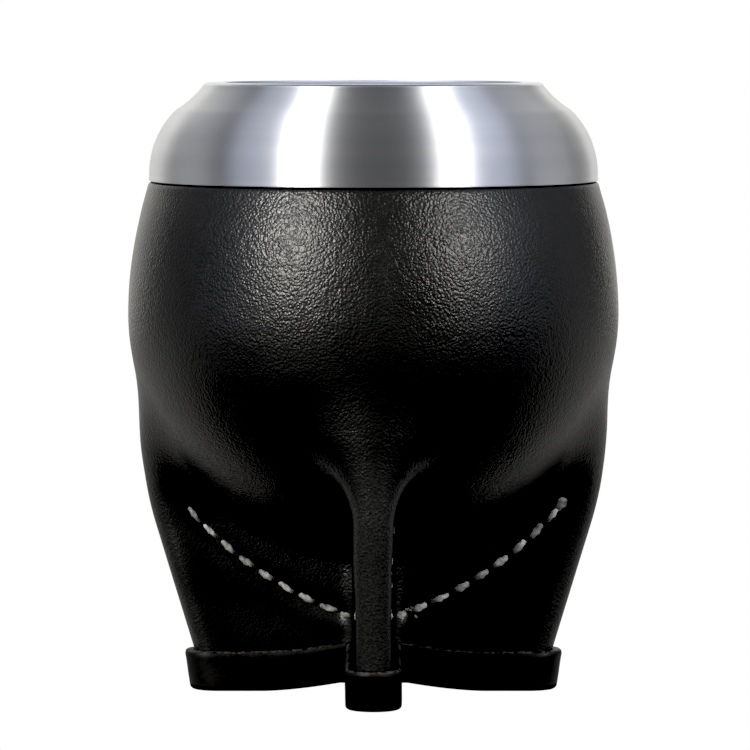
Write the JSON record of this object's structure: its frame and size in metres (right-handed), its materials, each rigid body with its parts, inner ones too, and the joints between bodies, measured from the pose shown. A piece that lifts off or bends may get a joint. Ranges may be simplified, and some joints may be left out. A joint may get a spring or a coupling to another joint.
{
  "type": "mate gourd cup",
  "caption": "Round gourd drinking cup in one moulded black leather cover, with a spun metal rim and four stitched leather fin legs bound at the foot.",
  "frame": {"origin": "on the standing plane, at the centre of the four feet, under the middle of the mouth", "axes": "+Z is the cup's axis and points out of the mouth; -Y points out along the front leg and +X along the right leg; the four legs are a quarter turn apart"},
  "size_m": [0.0948, 0.0948, 0.118],
  "materials": {
    "dried_gourd": "dry, matt",
    "bedding_resin": "cured, satin",
    "spun_aluminium": "spun, soft polish",
    "black_pebbled_leather": "pebbled, semi-gloss",
    "black_strap_leather": "smooth, cut edges",
    "waxed_thread": "waxed"
  },
  "bodies": {
    "root": {"gourd_shell": "dried_gourd", "rim_bedding": "bedding_resin", "metal_rim": "spun_aluminium", "leather_cover": "black_pebbled_leather", "foot_band_front": "black_strap_leather", "foot_band_right": "black_strap_leather", "foot_band_back": "black_strap_leather", "foot_band_left": "black_strap_leather", "seam_thread_front": "waxed_thread", "seam_thread_right": "waxed_thread", "seam_thread_back": "waxed_thread", "seam_thread_left": "waxed_thread"}
  },
  "joints": []
}
